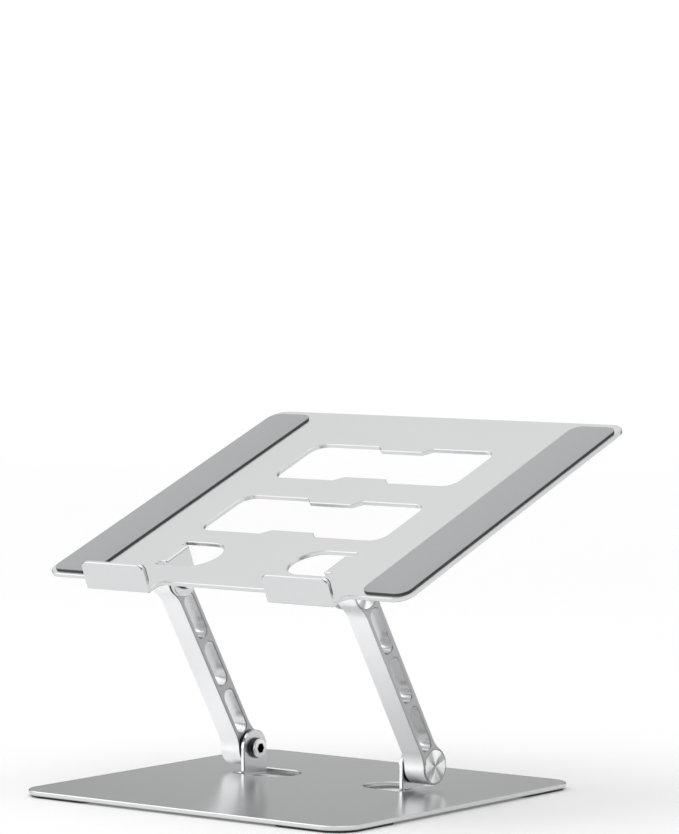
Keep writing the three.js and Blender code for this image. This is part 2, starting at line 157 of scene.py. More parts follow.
# ---------------------------------------------------------------- places taken from the frame
JOINTS = {joint["name"]: Vector(joint["pos_m"]) for joint in frame["joints"]}
LOWER_PIVOT = JOINTS["arm_swing"]
UPPER_PIVOT = JOINTS["tray_tilt"]
ARM_RUN = UPPER_PIVOT - LOWER_PIVOT
ARM_LENGTH = ARM_RUN.length
LEAN = math.atan2(-ARM_RUN.y, ARM_RUN.z)
MOUNTS = {mount["name"]: mount for mount in frame["record"]["mounts"]}
REST_NORMAL = Vector(MOUNTS["laptop_rest_left"]["axis"])
TILT = math.atan2(-REST_NORMAL.y, REST_NORMAL.z)

BASE_LOW, BASE_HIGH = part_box("base_plate")
BASE_TOP = BASE_LOW.z + SHEET
BASE_MIDDLE_Y = (BASE_LOW.y + BASE_HIGH.y) / 2
BASE_HALF_WIDTH = (BASE_HIGH.x - BASE_LOW.x) / 2
BASE_HALF_DEPTH = (BASE_HIGH.y - BASE_LOW.y) / 2
BASE_EAR_Y = LOWER_PIVOT.y - BASE_MIDDLE_Y
TRAY_HALF_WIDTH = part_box("tray_plate")[1].x
ARM_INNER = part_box("right_arm")[0].x
ARM_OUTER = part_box("right_arm")[1].x
ARM_THICK = ARM_OUTER - ARM_INNER
SOCKET_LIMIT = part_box("lower_right_bolt")[0].x + SOCKET_DEPTH + 0.5 * MM
BEND_START = EAR_INNER + SHEET + EAR_BEND  # where an ear's bend begins, on the flat sheet
EAR_CENTRE = BEND_START - BEND_LENGTH - (PIVOT_HEIGHT - EAR_BEND)  # its hole, on the flat sheet
HOOK_START = SHEET - HOOK_REACH + HOOK_BEND
HOOK_TOP = HOOK_START - BEND_LENGTH - (HOOK_HEIGHT - HOOK_BEND)

BODY_OF = {
    node: body
    for body, members in frame["record"]["behaviour"]["bodies"].items()
    for node in members
}

BASE_PLACE = Matrix.Translation((0, BASE_MIDDLE_Y, BASE_TOP))
TRAY_TURN = Matrix.Rotation(TILT, 4, "X")
TRAY_FROM_PIVOT = TRAY_TURN @ Vector((0, -TRAY_EAR_Y, SHEET + PIVOT_HEIGHT))
TRAY_PLACE = Matrix.Translation(UPPER_PIVOT + TRAY_FROM_PIVOT) @ TRAY_TURN


# ---------------------------------------------------------------- node materials
def new_material(name, metallic, roughness, **sockets):
    """A node material; returns it with its tree, its shader and the object coordinates."""
    material = bpy.data.materials.new(name)
    material.use_nodes = True
    tree = material.node_tree
    shader = tree.nodes["Principled BSDF"]
    shader.inputs["Metallic"].default_value = metallic
    shader.inputs["Roughness"].default_value = roughness
    for socket, value in sockets.items():
        shader.inputs[socket.replace("_", " ")].default_value = value
    coordinates = tree.nodes.new("ShaderNodeTexCoord").outputs["Object"]
    return material, tree, shader, coordinates


def noise(tree, coordinates, scale, detail=2.0, stretch=(1, 1, 1)):
    mapping = tree.nodes.new("ShaderNodeMapping")
    mapping.inputs["Scale"].default_value = stretch
    tree.links.new(coordinates, mapping.inputs["Vector"])
    node = tree.nodes.new("ShaderNodeTexNoise")
    node.inputs["Scale"].default_value = scale
    node.inputs["Detail"].default_value = detail
    tree.links.new(mapping.outputs["Vector"], node.inputs["Vector"])
    return node.outputs["Fac"]


def spread(tree, value, low, high):
    """Maps a noise value onto low..high and returns the result."""
    node = tree.nodes.new("ShaderNodeMapRange")
    node.inputs["From Min"].default_value = 0.3
    node.inputs["From Max"].default_value = 0.7
    node.inputs["To Min"].default_value = low
    node.inputs["To Max"].default_value = high
    tree.links.new(value, node.inputs["Value"])
    return node.outputs["Result"]


def tint(tree, shader, value, dark, light):
    """Blends the shader's colour between two greys by a noise value."""
    ramp = tree.nodes.new("ShaderNodeValToRGB")
    ramp.color_ramp.elements[0].position = 0.3
    ramp.color_ramp.elements[1].position = 0.7
    ramp.color_ramp.elements[0].color = (*dark, 1)
    ramp.color_ramp.elements[1].color = (*light, 1)
    tree.links.new(value, ramp.inputs["Fac"])
    tree.links.new(ramp.outputs["Color"], shader.inputs["Base Color"])


def emboss(tree, shader, value, strength, distance):
    bump = tree.nodes.new("ShaderNodeBump")
    bump.inputs["Strength"].default_value = strength
    bump.inputs["Distance"].default_value = distance
    tree.links.new(value, bump.inputs["Height"])
    tree.links.new(bump.outputs["Normal"], shader.inputs["Normal"])


def aluminium(name, dark, light, smooth, rough):
    """Fine bead-blasted, anodised sheet or bar: a tight grain with a faint cloudiness."""
    material, tree, shader, coordinates = new_material(name, 1.0, smooth)
    tint(tree, shader, noise(tree, coordinates, 9), dark, light)
    roughness = spread(tree, noise(tree, coordinates, 300, 1), smooth, rough)
    tree.links.new(roughness, shader.inputs["Roughness"])
    emboss(tree, shader, noise(tree, coordinates, 5200, 1), 0.012, 0.02 * MM)
    return material


def brushed_cap():
    """A disc brushed outwards from its centre; bright and dark wedges round its axis are painted
    highlights in its colour, and also a faint relief.
    """
    material, tree, shader, coordinates = new_material("brushed_cap", 1.0, 0.2, Anisotropic=0.7)
    tangent = tree.nodes.new("ShaderNodeTangent")
    tangent.direction_type = "RADIAL"
    tangent.axis = "X"
    tree.links.new(tangent.outputs["Tangent"], shader.inputs["Tangent"])

    def math_node(operation, *values):
        node = tree.nodes.new("ShaderNodeMath")
        node.operation = operation
        for socket, value in zip(node.inputs, values):
            if isinstance(value, (int, float)):
                socket.default_value = value
            else:
                tree.links.new(value, socket)
        return node.outputs["Value"]

    split = tree.nodes.new("ShaderNodeSeparateXYZ")
    tree.links.new(coordinates, split.inputs["Vector"])
    angle = math_node("ARCTAN2", split.outputs["Z"], split.outputs["Y"])
    wedges = math_node("COSINE", math_node("MULTIPLY_ADD", angle, CAP_SHEEN_AND_RELIEF_WEDGES, 0.6))
    flat = tree.nodes.new("ShaderNodeVectorMath")
    flat.operation = "MULTIPLY"
    flat.inputs[1].default_value = (0, 1, 1)
    tree.links.new(coordinates, flat.inputs[0])
    outwards = tree.nodes.new("ShaderNodeVectorMath")
    outwards.operation = "NORMALIZE"
    tree.links.new(flat.outputs["Vector"], outwards.inputs[0])
    streaks = noise(tree, outwards.outputs["Vector"], 22, 4)
    # painted highlights: the bright and dark wedges go into the colour, together with the brushing
    # streaks
    mixed = math_node("ADD", math_node("MULTIPLY_ADD", wedges, 0.36, 0.18), streaks)
    tint(tree, shader, mixed, (0.42, 0.425, 0.43), (1.0, 1.0, 1.0))
    tree.links.new(spread(tree, streaks, 0.16, 0.26), shader.inputs["Roughness"])
    relief = math_node("MULTIPLY_ADD", streaks, 0.3, wedges)
    emboss(tree, shader, relief, 0.8, 0.4 * MM)
    return material


def rubber(name, dark, light, roughness):
    """Moulded silicone: matte, with a fine pebbled skin."""
    material, tree, shader, coordinates = new_material(name, 0.0, roughness)
    tint(tree, shader, noise(tree, coordinates, 900, 3), dark, light)
    emboss(tree, shader, noise(tree, coordinates, 2600, 3), 0.25, 0.04 * MM)
    return material


def plated_steel():
    """Nickel-plated bolts, nuts and washers: smooth with faint turning marks along the axis."""
    material, tree, shader, coordinates = new_material("plated_steel", 1.0, 0.22)
    rings = noise(tree, coordinates, 900, 2, (4, 1, 1))
    tint(tree, shader, rings, (0.82, 0.82, 0.82), (0.88, 0.88, 0.88))
    roughness = spread(tree, noise(tree, coordinates, 700, 2), 0.16, 0.26)
    tree.links.new(roughness, shader.inputs["Roughness"])
    return material


def black_oxide():
    """Oiled black washers, worn slightly paler in patches."""
    material, tree, shader, coordinates = new_material("black_oxide", 1.0, 0.3)
    tint(tree, shader, noise(tree, coordinates, 1100, 3), (0.10, 0.10, 0.105), (0.16, 0.16, 0.165))
    return material


def black_nylon():
    """Friction discs: dense dark nylon with a slight mould grain."""
    material, tree, shader, coordinates = new_material("black_nylon", 0.0, 0.5)
    patches = noise(tree, coordinates, 800, 2)
    tint(tree, shader, patches, (0.012, 0.012, 0.013), (0.028, 0.028, 0.03))
    emboss(tree, shader, noise(tree, coordinates, 3000, 1), 0.2, 0.02 * MM)
    return material


MATERIALS = {
    "satin_aluminium": aluminium(
        "satin_aluminium", (0.68, 0.685, 0.69), (0.69, 0.695, 0.70), 0.236, 0.244
    ),
    "brushed_cap": brushed_cap(),
    "grey_rubber": rubber("grey_silicone", (0.365, 0.37, 0.375), (0.39, 0.395, 0.40), 0.6),
    "black_rubber": rubber("black_silicone", (0.02, 0.02, 0.022), (0.045, 0.045, 0.048), 0.58),
    "bright_steel": plated_steel(),
    "black_steel": black_oxide(),
    "nylon": black_nylon(),
    # painted light and shade: a darker copy of the aluminium for the arms' broad faces, and a paler
    # copy for their outer walls
    "arm_face_painted_shade": aluminium("aluminium_painted_shade", (0.42, 0.425, 0.43), (0.45, 0.455, 0.46), 0.29, 0.31),
    "arm_edge_painted_light": aluminium("aluminium_painted_light", (0.95, 0.955, 0.96), (0.96, 0.965, 0.97), 0.44, 0.46),
    # painted shade: a dark copy of the grey silicone for the pads' side walls
    "pad_wall_painted_shade": rubber("grey_silicone_painted_shade", (0.07, 0.07, 0.072), (0.09, 0.09, 0.092), 0.65),
    # painted shade: near black for the inside of the bolts' hex sockets
    "socket_shade": rubber("socket_painted_shade", (0.006, 0.006, 0.007), (0.012, 0.012, 0.013), 0.4),
}


# ---------------------------------------------------------------- outlines
def arc(centre, radius, start, end, steps=12):
    """Points along an arc, ends included, angles in degrees."""
    points = []
    for i in range(steps + 1):
        angle = math.radians(start + (end - start) * i / steps)
        x = centre[0] + radius * math.cos(angle)
        points.append(Vector((x, centre[1] + radius * math.sin(angle))))
    return points


def circle(centre, radius, steps=48):
    return arc(centre, radius, 0, 360 * (steps - 1) / steps, steps - 1)


def rounded_rectangle(x0, y0, x1, y1, r):
    return (
        arc((x1 - r, y0 + r), r, -90, 0)
        + arc((x1 - r, y1 - r), r, 0, 90)
        + arc((x0 + r, y1 - r), r, 90, 180)
        + arc((x0 + r, y0 + r), r, 180, 270)
    )


def tidy_loop(points, clockwise):
    """Drops repeated points and turns the loop the way asked for."""
    kept = []
    for point in points:
        if not kept or (point - kept[-1]).length > 1e-6:
            kept.append(point)
    if (kept[0] - kept[-1]).length < 1e-6:
        kept.pop()
    area = sum(a.cross(b) for a, b in zip(kept, kept[1:] + kept[:1]))
    if (area < 0) != clockwise:
        kept.reverse()
    return kept


def grown(loop, distance):
    """The loop moved sideways by distance, away from the material on its left."""
    moved = []
    for before, here, after in zip(loop[-1:] + loop[:-1], loop, loop[1:] + loop[:1]):
        incoming = (here - before).normalized()
        outgoing = (after - here).normalized()
        first = Vector((incoming.y, -incoming.x))
        second = Vector((outgoing.y, -outgoing.x))
        moved.append(here + (first + second) * (distance / (1 + max(first.dot(second), -0.5))))
    return moved


# ---------------------------------------------------------------- meshes
def finished(name, shape, place, slot, body, node, *accents):
    """Turns a bmesh into a piece that stands for a CAD node and rides on its body.

    An accent is a material and a test that picks the faces it covers, by centre and normal.
    """
    bmesh.ops.remove_doubles(shape, verts=shape.verts, dist=1e-7)
    bmesh.ops.recalc_face_normals(shape, faces=shape.faces)
    mesh = bpy.data.meshes.new(name)
    shape.to_mesh(mesh)
    shape.free()
    mesh.polygons.foreach_set("use_smooth", [True] * len(mesh.polygons))
    mesh.set_sharp_from_angle(angle=math.radians(28))
    mesh.materials.append(MATERIALS[slot])
    for index, (accent, picks) in enumerate(accents, 1):
        mesh.materials.append(MATERIALS[accent])
        for polygon in mesh.polygons:
            if picks(polygon.center, polygon.normal):
                polygon.material_index = index
    piece = bpy.data.objects.new(name, mesh)
    bpy.context.scene.collection.objects.link(piece)
    piece.matrix_world = place
    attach(piece, body)
    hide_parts(node)


def chamfered(thickness, chamfer):
    """The edge profile of a plate, from its top face down: (outwards, height)."""
    return [(-chamfer, 0), (0, -chamfer), (0, chamfer - thickness), (-chamfer, -thickness)]


def rounded(thickness, radius, steps=4):
    """An edge profile with a rounded top edge and a square bottom edge."""
    turns = [math.pi / 2 * i / steps for i in range(steps + 1)]
    top = [(radius * (math.sin(a) - 1), radius * (math.cos(a) - 1)) for a in turns]
    return top + [(0, -thickness)]


def moulded(thickness, radius, steps=4):
    """An edge profile with a bevelled top edge and a rounded bottom edge."""
    turns = [math.pi / 2 * i / steps for i in range(steps + 1)]
    lower = [(radius * (math.cos(a) - 1), -thickness + radius * (1 - math.sin(a))) for a in turns]
    return [(-radius, 0), (0, -radius), *lower]


def plate(outlines):
    """A flat body whose edges follow (points, profile) pairs: the outside first, then each hole."""
    body = bmesh.new()
    top, bottom = [], []
    for index, (points, profile) in enumerate(outlines):
        loop = tidy_loop(points, index > 0)
        rings = []
        for out, height in profile:
            flat = grown(loop, out)
            rings.append([body.verts.new((p.x, p.y, height)) for p in flat])
        for upper, lower in zip(rings, rings[1:]):
            for i, vertex in enumerate(upper):
                following = (i + 1) % len(upper)
                body.faces.new((vertex, lower[i], lower[following], upper[following]))
        top.append(rings[0])
        bottom.append(rings[-1])
    for loops in (top, bottom):
        flat = [vertex for loop in loops for vertex in loop]
        for triangle in tessellate_polygon([[vertex.co for vertex in loop] for loop in loops]):
            body.faces.new([flat[i] for i in triangle])
    return body


def turned(profile, segments=48):
    """A body of revolution about X. Points are (x, radius), or (x, half the flats, "hex")."""
    body = bmesh.new()
    rings = []
    for x, radius, *kind in profile:
        if radius == 0:
            rings.append([body.verts.new((x, 0, 0))])
            continue
        ring = []
        for i in range(segments):
            angle = 2 * math.pi * i / segments
            reach = radius
            if kind:
                reach = radius / math.cos((angle % (math.pi / 3)) - math.pi / 6)
            ring.append(body.verts.new((x, reach * math.cos(angle), reach * math.sin(angle))))
        rings.append(ring)
    closed = rings if len(rings[0]) == 1 else rings + rings[:1]
    for near, far in zip(closed, closed[1:]):
        for i in range(segments):
            following = (i + 1) % segments
            corners = [near[i % len(near)], near[following % len(near)]]
            corners += [far[following % len(far)], far[i % len(far)]]
            body.faces.new(list(dict.fromkeys(corners)))
    return body


# ---------------------------------------------------------------- bent sheet
def bend(body, inside, along, length, inner_path, outer_path, steps=12):
    """Bends a tongue of a flat plate.

    inside picks the tongue's points, along gives a point's distance past the start of the bend,
    and the two paths give where its upper and lower faces go, as a place at that distance.
    """
    for i in range(steps + 1):
        distance = length * i / steps
        origin, normal = along.plane(distance)
        wanted = any if i == 0 else all
        faces = [f for f in body.faces if wanted(inside(v.co) for v in f.verts)]
        edges = {e for f in faces for e in f.edges}
        verts = {v for f in faces for v in f.verts}
        bmesh.ops.bisect_plane(
            body, geom=[*faces, *edges, *verts], plane_co=origin, plane_no=normal, dist=1e-7
        )
    for vertex in body.verts:
        distance = along.distance(vertex.co)
        if distance > 0 and inside(vertex.co):
            share = -vertex.co.z / SHEET
            upper = inner_path(distance)
            lower = outer_path(distance)
            vertex.co = along.place(vertex.co, upper.lerp(lower, share))


class Across:
    """Measures past a bend line at x = start, for a tongue that runs towards the middle."""

    def __init__(self, side, start):
        self.side = side
        self.start = start

    def plane(self, distance):
        return (self.side * (self.start - distance), 0, 0), (1, 0, 0)

    def distance(self, point):
        return self.start - self.side * point.x

    def place(self, point, target):
        return Vector((self.side * target.x, point.y, target.y))


class Forward:
    """Measures past a bend line at y = start, for a tongue that runs forwards."""

    def __init__(self, start):
        self.start = start

    def plane(self, distance):
        return (0, self.start - distance, 0), (0, 1, 0)

    def distance(self, point):
        return self.start - point.y

    def place(self, point, target):
        return Vector((point.x, target.x, target.y))


def bend_paths(start, inside, outside, length):
    """Where the two faces of a sheet go past a bend, as (place, height) at a distance.

    The bend has the radii inside and outside, and takes up the given length of flat sheet.
    """
    face = start - inside - SHEET
    flat = start - face - outside
    round_part = math.pi / 2 * outside
    upright = inside + SHEET - outside

    def inner(distance):
        if distance > length:
            return Vector((start - inside, inside + distance - length))
        angle = math.pi / 2 * distance / length
        return Vector((start - inside * math.sin(angle), inside * (1 - math.cos(angle))))

    def outer(distance):
        if distance > length:
            return Vector((face, inside + distance - length))
        gone = distance / length * (flat + round_part + upright)
        if gone < flat:
            return Vector((start - gone, -SHEET))
        if gone < flat + round_part:
            angle = (gone - flat) / outside
            x = face + outside * (1 - math.sin(angle))
            return Vector((x, outside * (1 - math.cos(angle)) - SHEET))
        return Vector((face, outside - SHEET + gone - flat - round_part))

    return inner, outer


def window(side, centre_y):
    """The gap round an ear, drawn on the flat sheet: the D-shaped window without the ear itself."""
    half = EAR_WIDTH / 2
    relief = (WINDOW_HALF - half) / 2
    relief_x = WINDOW_RELIEF - relief
    middle = half + relief
    points = (
        [Vector((BEND_START, half))]
        + arc((relief_x, middle), relief, -90, 90, 10)
        + arc((WINDOW_CENTRE, 0), WINDOW_HALF, 90, 270, 40)
        + arc((relief_x, -middle), relief, -90, 90, 10)
        + [Vector((BEND_START, -half))]
        + arc((EAR_CENTRE, 0), half, -90, -270, 32)
    )
    return [Vector((side * p.x, p.y + centre_y)) for p in points]


def ear_hole(side, centre_y):
    return circle((side * EAR_CENTRE, centre_y), BOLT_HOLE, 32)


def bend_ears(body, centre_y):
    for side in (-1, 1):

        def on_ear(point, side=side):
            in_length = EAR_LIMIT < side * point.x < BEND_START + ON_THE_LINE
            return in_length and abs(point.y - centre_y) < EAR_WIDTH / 2 + ON_THE_LINE

        bend(
            body,
            on_ear,
            Across(side, BEND_START),
            BEND_LENGTH,
            *bend_paths(BEND_START, EAR_BEND, EAR_BEND_OUTER, BEND_LENGTH),
        )


# ---------------------------------------------------------------- base plate and feet
def base_sheet():
    edge = chamfered(SHEET, SHEET_CHAMFER)
    outline = rounded_rectangle(
        -BASE_HALF_WIDTH, -BASE_HALF_DEPTH, BASE_HALF_WIDTH, BASE_HALF_DEPTH, BASE_CORNER
    )
    outlines = [(outline, edge)]
    for side in (-1, 1):
        outlines.append((window(side, BASE_EAR_Y), edge))
        outlines.append((ear_hole(side, BASE_EAR_Y), edge))
    body = plate(outlines)
    bend_ears(body, BASE_EAR_Y)
    finished("base_sheet", body, BASE_PLACE, "satin_aluminium", "base", "base_plate")


def foot(side_x, side_y):
    x1 = BASE_HALF_WIDTH - FOOT_INSET
    y1 = BASE_HALF_DEPTH - FOOT_INSET
    corner = BASE_CORNER - FOOT_INSET
    end = FOOT_WIDTH / 2
    inner = FOOT_WIDTH + FOOT_INNER_CORNER
    points = (
        arc((x1 - corner, y1 - corner), corner, 0, 90)
        + arc((x1 - FOOT_LEG + end, y1 - end), end, 90, 270, 20)
        + arc((x1 - inner, y1 - inner), FOOT_INNER_CORNER, 90, 0)
        + arc((x1 - end, y1 - FOOT_LEG + end), end, 180, 360, 20)
    )
    placed = [Vector((side_x * p.x, side_y * p.y)) for p in points]
    body = plate([(placed, moulded(FOOT_THICK, FOOT_EDGE))])
    where = f"{'rear' if side_y > 0 else 'front'}_{'right' if side_x > 0 else 'left'}"
    place = Matrix.Translation((0, BASE_MIDDLE_Y, FOOT_THICK))
    finished(f"rubber_foot_{where}", body, place, "black_rubber", "base", f"foot_{where}")


# ---------------------------------------------------------------- tray and its pads
def cutout(centre_y):
    x = CUTOUT_WIDTH / 2
    y = CUTOUT_DEPTH / 2
    r = CUTOUT_CORNER
    half = (
        [Vector((NECK_TIP, NECK_STEP - y)), Vector((NECK_ROOT, -y))]
        + arc((x - r, r - y), r, -90, 0)
        + arc((x - r, y - r), r, 0, 90)
        + [Vector((NECK_ROOT, y)), Vector((NECK_TIP, y - NECK_STEP))]
    )
    other = [Vector((-p.x, p.y)) for p in reversed(half)]
    return [Vector((p.x, p.y + centre_y)) for p in half + other]


def tray_outline():
    half = TRAY_HALF_WIDTH
    r = TRAY_CORNER
    f = HOOK_FILLET
    c = HOOK_CORNER
    points = arc((r - half, r), r, 180, 270)
    for centre in (-HOOK_CENTRE, HOOK_CENTRE):
        left = centre - HOOK_WIDTH / 2
        right = centre + HOOK_WIDTH / 2
        points += arc((left - f, -f), f, 90, 0)
        points += arc((left + c, HOOK_TOP + c), c, 180, 270)
        points += arc((right - c, HOOK_TOP + c), c, 270, 360)
        points += arc((right + f, -f), f, 180, 90)
    points += arc((half - r, r), r, -90, 0)
    points += arc((half - r, TRAY_DEPTH - r), r, 0, 90)
    return points + arc((r - half, TRAY_DEPTH - r), r, 90, 180)


def bend_hooks(body):
    for centre in (-HOOK_CENTRE, HOOK_CENTRE):

        def on_hook(point, centre=centre):
            in_width = abs(point.x - centre) < HOOK_WIDTH / 2 + ON_THE_LINE
            return in_width and point.y < HOOK_START + ON_THE_LINE

        bend(
            body,
            on_hook,
            Forward(HOOK_START),
            BEND_LENGTH,
            *bend_paths(HOOK_START, HOOK_BEND, HOOK_BEND_OUTER, BEND_LENGTH),
        )


def tray_sheet():
    edge = chamfered(SHEET, SHEET_CHAMFER)
    outlines = [(tray_outline(), edge)]
    outlines += [(cutout(centre), edge) for centre in CUTOUT_CENTRES]
    for side in (-1, 1):
        outlines.append((window(side, TRAY_EAR_Y), edge))
        outlines.append((ear_hole(side, TRAY_EAR_Y), edge))
    body = plate(outlines)
    upside_down = Matrix.Translation((0, 0, -SHEET)) @ Matrix.Scale(-1, 4, (0, 0, 1))
    body.transform(upside_down)
    bend_ears(body, TRAY_EAR_Y)
    body.transform(upside_down)
    bend_hooks(body)
    finished("tray_sheet", body, TRAY_PLACE, "satin_aluminium", "tray", "tray_plate")


# Picks the pads' side walls, which are painted dark as shade.
def on_side_wall(centre, normal):
    return normal.z < 0.5


def tray_pads():
    edge = rounded(PAD_THICK + PAD_GAP, PAD_EDGE)
    lift = Matrix.Translation((0, 0, PAD_GAP + PAD_THICK))
    half = TRAY_PAD_WIDTH / 2
    for name, side in (("left", -1), ("right", 1)):
        x = side * TRAY_PAD_CENTRE
        rear = TRAY_PAD_FRONT + TRAY_PAD_LENGTH
        points = rounded_rectangle(x - half, TRAY_PAD_FRONT, x + half, rear, TRAY_PAD_CORNER)
        body = plate([(points, edge)])
        place = TRAY_PLACE @ lift
        node = f"tray_pad_{name}"
        strip = f"rubber_strip_{name}"
        # the pads' side walls get painted shade
        finished(strip, body, place, "grey_rubber", "tray", node, ("pad_wall_painted_shade", on_side_wall))


def hook_pads():
    edge = rounded(PAD_THICK + PAD_GAP, PAD_EDGE)
    half = HOOK_WIDTH / 2 - HOOK_PAD_INSET
    top = HOOK_HEIGHT - HOOK_PAD_INSET
    points = rounded_rectangle(-half, HOOK_PAD_BOTTOM, half, top, HOOK_CORNER - HOOK_PAD_INSET)
    face = SHEET - HOOK_REACH + PAD_GAP + PAD_THICK
    for name, side in (("left", -1), ("right", 1)):
        upright = Matrix(((-1, 0, 0), (0, 0, 1), (0, 1, 0))).to_4x4()
        place = TRAY_PLACE @ Matrix.Translation((side * HOOK_CENTRE, face, 0)) @ upright
        body = plate([(points, edge)])
        finished(f"hook_lining_{name}", body, place, "black_rubber", "tray", f"hook_pad_{name}")


# ---------------------------------------------------------------- arms
def arm_outline():
    half = ARM_WIDTH / 2
    side = half + BOSS_FILLET
    rise = math.sqrt((BOSS_RADIUS + BOSS_FILLET) ** 2 - side**2)
    turn = math.degrees(math.atan2(rise, side))
    top = ARM_LENGTH
    return (
        arc((0, 0), BOSS_RADIUS, 180 - turn, 360 + turn, 40)
        + arc((side, rise), BOSS_FILLET, 180 + turn, 180)
        + arc((side, top - rise), BOSS_FILLET, 180, 180 - turn)
        + arc((0, top), BOSS_RADIUS, -turn, 180 + turn, 40)
        + arc((-side, top - rise), BOSS_FILLET, turn, 0)
        + arc((-side, rise), BOSS_FILLET, 0, -turn)
    )


def on_flat_face(centre, normal):
    """The two broad faces of the bar, with their chamfers; they get a darker copy of the aluminium
    as painted shade.
    """
    return abs(normal.z) > 0.6


def on_outer_wall(centre, normal):
    """The wall round the outside of the bar, but not the walls of its slots and holes; it gets a
    paler copy of the aluminium as painted light.
    """
    in_slot = abs(centre.x) < SLOT_RADIUS + WALL_MARGIN and 0 < centre.y < ARM_LENGTH
    nearest_pivot = Vector((0, ARM_LENGTH if centre.y > ARM_LENGTH / 2 else 0))
    in_hole = (centre.xy - nearest_pivot).length < CAP_RECESS + WALL_MARGIN
    return abs(normal.z) < 0.6 and not in_slot and not in_hole


def arm(name, side):
    """A bar drawn upright in (Y, Z); its top face in the drawing is its outer face in the stand."""
    outlines = [(arm_outline(), chamfered(ARM_THICK, ARM_CHAMFER))]
    for step in (-1, 0, 1):
        middle = ARM_LENGTH / 2 + step * SLOT_PITCH
        slot = arc((0, middle + SLOT_HALF), SLOT_RADIUS, 0, 180, 20)
        slot += arc((0, middle - SLOT_HALF), SLOT_RADIUS, 180, 360, 20)
        outlines.append((slot, chamfered(ARM_THICK, SLOT_CHAMFER)))
    rim = RECESS_RIM
    pocket = CAP_RECESS - POCKET_RADIUS
    hole = CAP_RECESS - BOLT_HOLE
    stepped = [
        (-rim, 0),
        (0, -rim),
        (0, -CAP_THICK),
        (pocket, -CAP_THICK),
        (pocket, -POCKET_DEPTH),
        (hole, -POCKET_DEPTH),
        (hole, rim - ARM_THICK),
        (hole - rim, -ARM_THICK),
    ]
    for height in (0, ARM_LENGTH):
        outlines.append((circle((0, height), CAP_RECESS, 64), stepped))
    upright = Matrix(((0, 0, 1, ARM_THICK), (1, 0, 0, 0), (0, 1, 0, 0), (0, 0, 0, 1)))
    place = Matrix.Translation(LOWER_PIVOT) @ Matrix.Rotation(LEAN, 4, "X")
    if side < 0:
        place = place @ Matrix.Rotation(math.pi, 4, "Z")
    place = place @ Matrix.Translation((ARM_INNER, 0, 0)) @ upright
    finished(
        f"{name}_bar",
        plate(outlines),
        place,
        "satin_aluminium",
        "arms",
        name,
        # the broad faces get painted shade and the outer wall gets painted light
        ("arm_face_painted_shade", on_flat_face),
        ("arm_edge_painted_light", on_outer_wall),
    )


# ---------------------------------------------------------------- hinge hardware
def rounded_edge(x, radius, fillet, outward, steps=4):
    """Points round the outer edge of a turned face at x; outward is -1 or 1, the way it faces."""
    points = []
    for i in range(steps + 1):
        angle = math.pi / 2 * i / steps
        depth = fillet * (1 - math.cos(angle))
        points.append((x - outward * depth, radius - fillet + fillet * math.sin(angle)))
    return points


def bolt(low, high):
    """A low-headed bolt with a hex socket; its head faces the middle of the stand."""
    shoulder = low + HEAD_THICK
    socket_floor = low + SOCKET_DEPTH
    tip = BOLT_RADIUS / 4
    return turned(
        [
            (socket_floor + SOCKET_BEVEL, 0),
            (socket_floor, SOCKET_HALF, "hex"),
            (low + SOCKET_LIP, SOCKET_HALF, "hex"),
            (low, SOCKET_HALF + SOCKET_BEVEL, "hex"),
            *rounded_edge(low, HEAD_RADIUS, HEAD_FILLET, -1),
            *reversed(rounded_edge(shoulder, HEAD_RADIUS, HEAD_REAR_FILLET, 1)),
            (shoulder, BOLT_RADIUS),
            (high - tip, BOLT_RADIUS),
            (high, BOLT_RADIUS - tip),
            (high, 0),
        ]
    )


def in_socket(centre, normal):
    """The socket's walls and floor, painted near black as shade; the head's face looks along -X."""
    radius = math.hypot(centre.y, centre.z)
    return radius < SOCKET_HALF * 1.2 and centre.x < SOCKET_LIMIT


def ring(low, high, outer, inner=BOLT_HOLE, fillet=0.15 * MM):
    """A flat ring with eased outer edges."""
    return turned(
        [
            (low, inner),
            *rounded_edge(low, outer, fillet, -1),
            *reversed(rounded_edge(high, outer, fillet, 1)),
            (high, inner),
        ]
    )


def split_ring(low, high, outer=SPRING_RADIUS, inner=BOLT_HOLE):
    """A spring washer: a ring cut through once, with its ends sprung slightly apart."""
    steps = 60
    body = bmesh.new()
    sections = []
    for i in range(steps + 1):
        angle = SPRING_GAP + (2 * math.pi - 2 * SPRING_GAP) * i / steps
        shift = SPRING_SKEW * (2 * i / steps - 1)
        near_x = low + SPRING_SKEW
        far_x = high - SPRING_SKEW
        corners = ((near_x, inner), (near_x, outer), (far_x, outer), (far_x, inner))
        section = []
        for x, radius in corners:
            place = (x + shift, radius * math.cos(angle), radius * math.sin(angle))
            section.append(body.verts.new(place))
        sections.append(section)
    for near, far in zip(sections, sections[1:]):
        for k in range(4):
            body.faces.new((near[k], near[(k + 1) % 4], far[(k + 1) % 4], far[k]))
    body.faces.new(sections[0])
    body.faces.new(reversed(sections[-1]))
    return body


def nut(low, high):
    """A hexagon nut with chamfered corners and a round nylon-insert collar."""
    corner = NUT_HALF / math.cos(math.pi / 6)
    shoulder = high - COLLAR_HEIGHT
    bevel = (corner - NUT_HALF) / 2
    return turned(
        [
            (low, BOLT_HOLE),
            (low, NUT_HALF * NUT_FACE_SHARE),
            (low + bevel, NUT_HALF, "hex"),
            (shoulder - bevel, NUT_HALF, "hex"),
            (shoulder, NUT_HALF * NUT_FACE_SHARE),
            (shoulder, COLLAR_RADIUS),
            *reversed(rounded_edge(high, COLLAR_RADIUS, COLLAR_FILLET, 1)),
            (high, BOLT_HOLE),
        ]
    )


